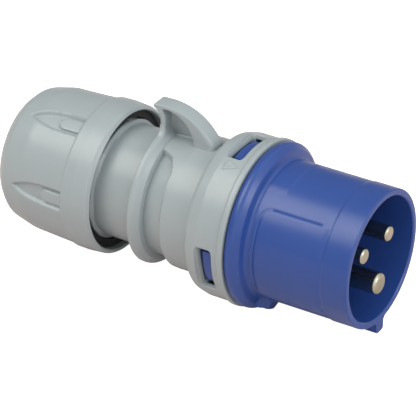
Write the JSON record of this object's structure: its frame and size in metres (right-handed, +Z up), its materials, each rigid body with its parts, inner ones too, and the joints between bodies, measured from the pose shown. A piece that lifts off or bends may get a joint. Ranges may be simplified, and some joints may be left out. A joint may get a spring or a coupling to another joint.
{
  "type": "industrial pin and sleeve plug",
  "caption": "Industrial pin and sleeve plug: blue shroud with round contacts and key rib, grey twist-lock housing with lid hook, screwed cable gland nut.",
  "frame": {"origin": "centre of the shroud's mouth plane, on the plug's axis", "axes": "+X out of the mouth along the contacts, the way the plug goes into its socket; +Z up through the lid hook, with the key rib and the earth contact at the bottom; +Y completes the right-handed frame"},
  "size_m": [0.125, 0.0528, 0.0581],
  "materials": {
    "grey_plastic": "moulded light grey polyamide, fine satin",
    "blue_plastic": "moulded blue polyamide, satin",
    "black_plastic": "moulded black polyamide",
    "white_plastic": "moulded white acetal",
    "black_rubber": "moulded black rubber, matt",
    "plated_brass": "turned brass, bright nickel plate",
    "plated_steel": "zinc-plated steel",
    "spring_brass": "rolled brass strip"
  },
  "bodies": {
    "shell": {"housing": "grey_plastic"},
    "insert": {"contact_insert": "blue_plastic", "earth_pin": "plated_brass", "line_pin": "plated_brass", "neutral_pin": "plated_brass", "earth_terminal_screw": "plated_steel", "line_terminal_screw": "plated_steel", "neutral_terminal_screw": "plated_steel", "earth_wire_guard": "spring_brass", "line_wire_guard": "spring_brass", "neutral_wire_guard": "spring_brass", "pin_retainer": "black_plastic", "retainer_screw": "plated_steel", "flange_gasket": "black_rubber"},
    "clamp": {"cable_seal": "black_rubber", "seal_insert": "black_rubber", "clamp_cage": "black_plastic", "slip_ring": "white_plastic"},
    "nut": {"gland_nut": "grey_plastic", "neck_sleeve": "black_rubber"}
  },
  "joints": [
    {"name": "insert_turn", "type": "hinge", "parent": "shell", "child": "insert", "pos_m": [-0.045, 0, 0], "axis": [1, 0, 0], "range_deg": [0, 32]},
    {"name": "clamp_slide", "type": "slide", "parent": "shell", "child": "clamp", "axis": [1, 0, 0], "range_m": [0, 0.008]},
    {"name": "nut_turn", "type": "hinge", "parent": "clamp", "child": "nut", "pos_m": [-0.1, 0, 0], "axis": [1, 0, 0], "range_deg": [0, 720]}
  ],
  "couplings": [
    {"joint": "clamp_slide", "follows": "nut_turn", "m_per_rad": 0.00063661}
  ]
}
